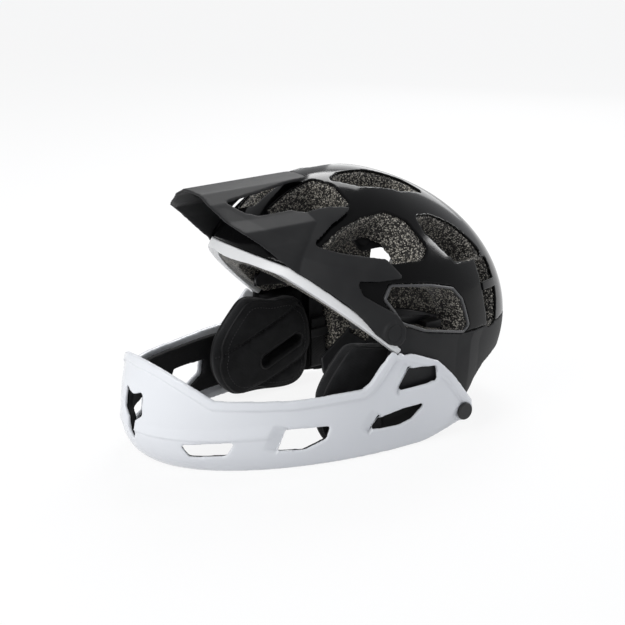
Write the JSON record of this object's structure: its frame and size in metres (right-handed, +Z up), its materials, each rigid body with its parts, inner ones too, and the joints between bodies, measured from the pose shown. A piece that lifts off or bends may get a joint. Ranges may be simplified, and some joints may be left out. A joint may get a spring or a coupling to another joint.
{
  "type": "full face cycling helmet",
  "caption": "Downhill cycling helmet with a vented shell, a tilting visor, a windowed chin guard, foam liner, cheek pads, nape cradle with dial and a ring-fastened chin strap.",
  "frame": {"origin": "on the ground under the middle of the helmet's bounding box, standing on the chin guard's lower edge", "axes": "+Z up, -Y the way the wearer faces, +X the wearer's left"},
  "size_m": [0.217, 0.3638, 0.2156],
  "materials": {
    "gloss_black": "gloss",
    "matte_grey": "matte",
    "gloss_white": "gloss",
    "trim_white": "satin",
    "foam_grey": "matte",
    "foam_black": "matte",
    "cushion_black": "matte",
    "webbing_black": "matte",
    "satin_black": "satin",
    "rubber_black": "matte",
    "steel": "satin",
    "brass": "satin"
  },
  "bodies": {
    "helmet": {"upper_shell": "gloss_black", "lower_shell": "matte_grey", "main_liner": "foam_grey", "face_trim": "trim_white", "vent_rims": "satin_black", "nape_bridges": "gloss_black", "chin_guard": "gloss_white", "guard_lining": "foam_black", "guard_screws": "satin_black", "guard_nuts": "steel", "visor_screws": "matte_grey", "visor_washers": "satin_black", "visor_nuts": "brass", "cheek_pad_left": "cushion_black", "cheek_pad_right": "cushion_black", "cheek_core_left": "foam_black", "cheek_core_right": "foam_black", "brow_pad": "cushion_black", "crown_pads": "cushion_black", "pad_fixings": "webbing_black", "belt_left": "satin_black", "belt_right": "satin_black", "belt_anchors": "satin_black", "strap_anchors": "satin_black", "strap_left": "webbing_black", "strap_right": "webbing_black", "strap_keeper": "rubber_black"},
    "visor": {"visor": "matte_grey"},
    "cradle": {"nape_cradle": "satin_black", "nape_pads": "cushion_black", "dial_housing": "satin_black"},
    "dial": {"dial_knob": "rubber_black", "dial_pinion": "satin_black"},
    "rings": {"d_rings": "steel"}
  },
  "joints": [
    {"name": "visor_tilt", "type": "hinge", "parent": "helmet", "child": "visor", "pos_m": [0, -0.00197, 0.10396], "axis": [-1, 0, 0], "range_deg": [0, 7.5]},
    {"name": "cradle_slide", "type": "slide", "parent": "helmet", "child": "cradle", "axis": [0, -1, 0], "range_m": [0, 0.012], "deforming": ["belt_left", "belt_right"]},
    {"name": "dial_turn", "type": "hinge", "parent": "cradle", "child": "dial", "pos_m": [0, 0.13802, 0.03434], "axis": [0, 1, 0], "range_deg": [0, 165]},
    {"name": "ring_swing", "type": "hinge", "parent": "helmet", "child": "rings", "pos_m": [0.0741, 0.05515, 0.02505], "axis": [0, 1, 0], "range_deg": [0, 50]}
  ],
  "couplings": [
    {"joint": "dial_turn", "follows": "cradle_slide", "rad_per_m": 238}
  ]
}
